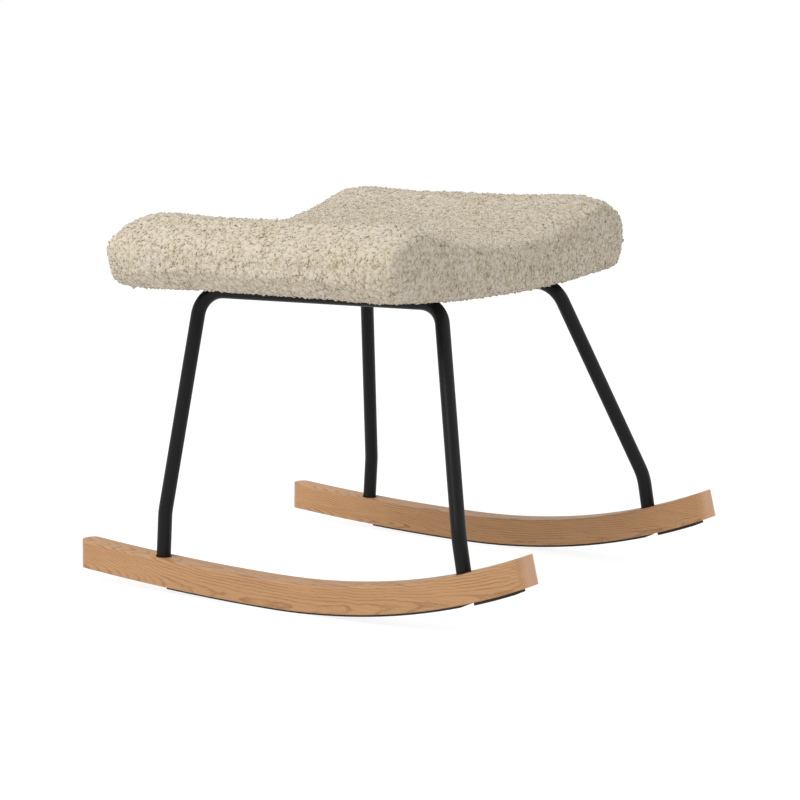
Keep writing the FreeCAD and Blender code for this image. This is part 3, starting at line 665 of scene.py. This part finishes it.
def makeSpunbond():
    material, tree, shader = newMaterial("spunbondDustCloth", 0.95)
    dots = addNode(tree, "ShaderNodeTexVoronoi", {}, {
        "Vector": objectCoords(tree), "Scale": 1 / dustLook["dotPitch"], "Randomness": 0.2})
    dotted = addNode(tree, "ShaderNodeMapRange", {}, {0: dots.outputs["Distance"], 1: 0.2, 2: 0.45})
    mixed = addNode(tree, "ShaderNodeMix", {"data_type": "RGBA"}, {
        0: dotted.outputs[0], 6: linearColour(dustLook["dot"]), 7: linearColour(dustLook["thread"])})
    tree.links.new(mixed.outputs[2], shader.inputs["Base Color"])
    bump = addNode(tree, "ShaderNodeBump", {}, {"Height": dotted.outputs[0], "Distance": 0.0002})
    tree.links.new(bump.outputs[0], shader.inputs["Normal"])
    return material


width = clothHigh[0] - clothLow[0]
length = clothHigh[1] - clothLow[1]
deselectAll()
bpy.ops.mesh.primitive_plane_add(size=1, location=(0, (clothLow[1] + clothHigh[1]) / 2, clothLow[2] - 0.01))
dustCloth = bpy.context.object
dustCloth.name = "dustCloth"
dustCloth.scale = (width, length, 1)
bpy.ops.object.transform_apply(location=True, rotation=True, scale=True)
bpy.ops.object.mode_set(mode="EDIT")
bpy.ops.mesh.select_all(action="SELECT")
bpy.ops.mesh.bevel(affect="VERTICES", offset=dustLook["corner"], segments=6)
for cut in range(1, dustLook["cuts"]):
    bpy.ops.mesh.select_all(action="SELECT")
    bpy.ops.mesh.bisect(plane_co=(clothLow[0] + width * cut / dustLook["cuts"], 0, 0), plane_no=(1, 0, 0))
bpy.ops.object.mode_set(mode="OBJECT")
applyModifier(dustCloth, "SHRINKWRAP", {
    "target": cadNodes["seat_shell"], "wrap_method": "PROJECT", "use_project_z": True,
    "use_positive_direction": True, "use_negative_direction": False, "offset": 0.00005})
applyModifier(dustCloth, "SOLIDIFY", {"thickness": dustLook["thickness"], "offset": -1.0})
cover(dustCloth, makeSpunbond())
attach(dustCloth, "root")
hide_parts("dust_cloth")
print("dust cloth made")


# Studio: white floor and surroundings, soft key from the upper left

studio = {"world": 0.6, "keyPower": 35.0, "keyPlace": (-1.7, 0.7, 2.2), "keySize": 1.6,
          "fillPower": 4.0, "fillPlace": (0.6, -2.4, 1.2), "fillSize": 1.8, "lampColour": (1.0, 0.975, 0.94),
          "floorSize": 12.0, "floorBounce": 0.9, "floorGlow": 0.88, "floorShade": 0.3}

deselectAll()
bpy.ops.mesh.primitive_plane_add(size=studio["floorSize"], location=(0, 0, 0))
floor = bpy.context.object
floor.name = "floor"
floorMaterial, tree, shader = newMaterial("paleFloor", 0.9)
shader.inputs["Base Color"].default_value = (studio["floorBounce"],) * 3 + (1,)
path = addNode(tree, "ShaderNodeLightPath")
seen = addNode(tree, "ShaderNodeMath", {"operation": "MAXIMUM"}, {
    0: path.outputs["Is Camera Ray"], 1: path.outputs["Is Glossy Ray"]})
glow = addNode(tree, "ShaderNodeEmission", {}, {"Color": (1, 1, 1, 1), "Strength": studio["floorGlow"]})
lit = addNode(tree, "ShaderNodeBsdfDiffuse", {}, {"Color": (studio["floorShade"],) * 3 + (1,)})
whiteFloor = addNode(tree, "ShaderNodeAddShader", {}, {0: glow.outputs[0], 1: lit.outputs[0]})
floorMix = addNode(tree, "ShaderNodeMixShader", {}, {
    0: seen.outputs[0], 1: shader.outputs[0], 2: whiteFloor.outputs[0]})
tree.links.new(floorMix.outputs[0], tree.nodes["Material Output"].inputs["Surface"])
cover(floor, floorMaterial)

world = bpy.data.worlds.new("studioWhite")
bpy.context.scene.world = world
world.use_nodes = True
sky = world.node_tree
path = addNode(sky, "ShaderNodeLightPath")
cameraOrGlossy = addNode(sky, "ShaderNodeMath", {"operation": "MAXIMUM"}, {
    0: path.outputs["Is Camera Ray"], 1: path.outputs["Is Glossy Ray"]})
seen = addNode(sky, "ShaderNodeMath", {"operation": "MAXIMUM"}, {
    0: cameraOrGlossy.outputs[0], 1: path.outputs["Is Transmission Ray"]})
level = addNode(sky, "ShaderNodeMapRange", {}, {0: seen.outputs[0], 3: studio["world"], 4: 1.0})
background = sky.nodes["Background"]
background.inputs["Color"].default_value = (1, 1, 1, 1)
sky.links.new(level.outputs[0], background.inputs["Strength"])


def addLamp(name, place, power, size, aim=(0, 0, 0.25)):
    bpy.ops.object.light_add(type="AREA", location=place)
    lamp = bpy.context.object
    lamp.name = name
    lamp.data.energy = power
    lamp.data.size = size
    lamp.data.color = studio["lampColour"]
    lamp.rotation_euler = (Vector(aim) - Vector(place)).to_track_quat("-Z", "Y").to_euler()
    return lamp


addLamp("keyLamp", studio["keyPlace"], studio["keyPower"], studio["keySize"])
addLamp("fillLamp", studio["fillPlace"], studio["fillPower"], studio["fillSize"])

# Camera at the photo's angle, from a fit to the rockers, tubes and seat edges
cameraView = {"place": (-2.2956, -1.4570, 0.6100), "elevation": 8.499, "azimuth": -57.5435, "lens": 108.33}
bpy.ops.object.camera_add(location=cameraView["place"], rotation=(
    math.radians(90 - cameraView["elevation"]), 0, math.radians(cameraView["azimuth"])))
camera = bpy.context.object
camera.data.lens = cameraView["lens"]
camera.data.sensor_width = 36
bpy.context.scene.camera = camera
bpy.context.scene.view_settings.view_transform = "Standard"
print("studio and camera set")
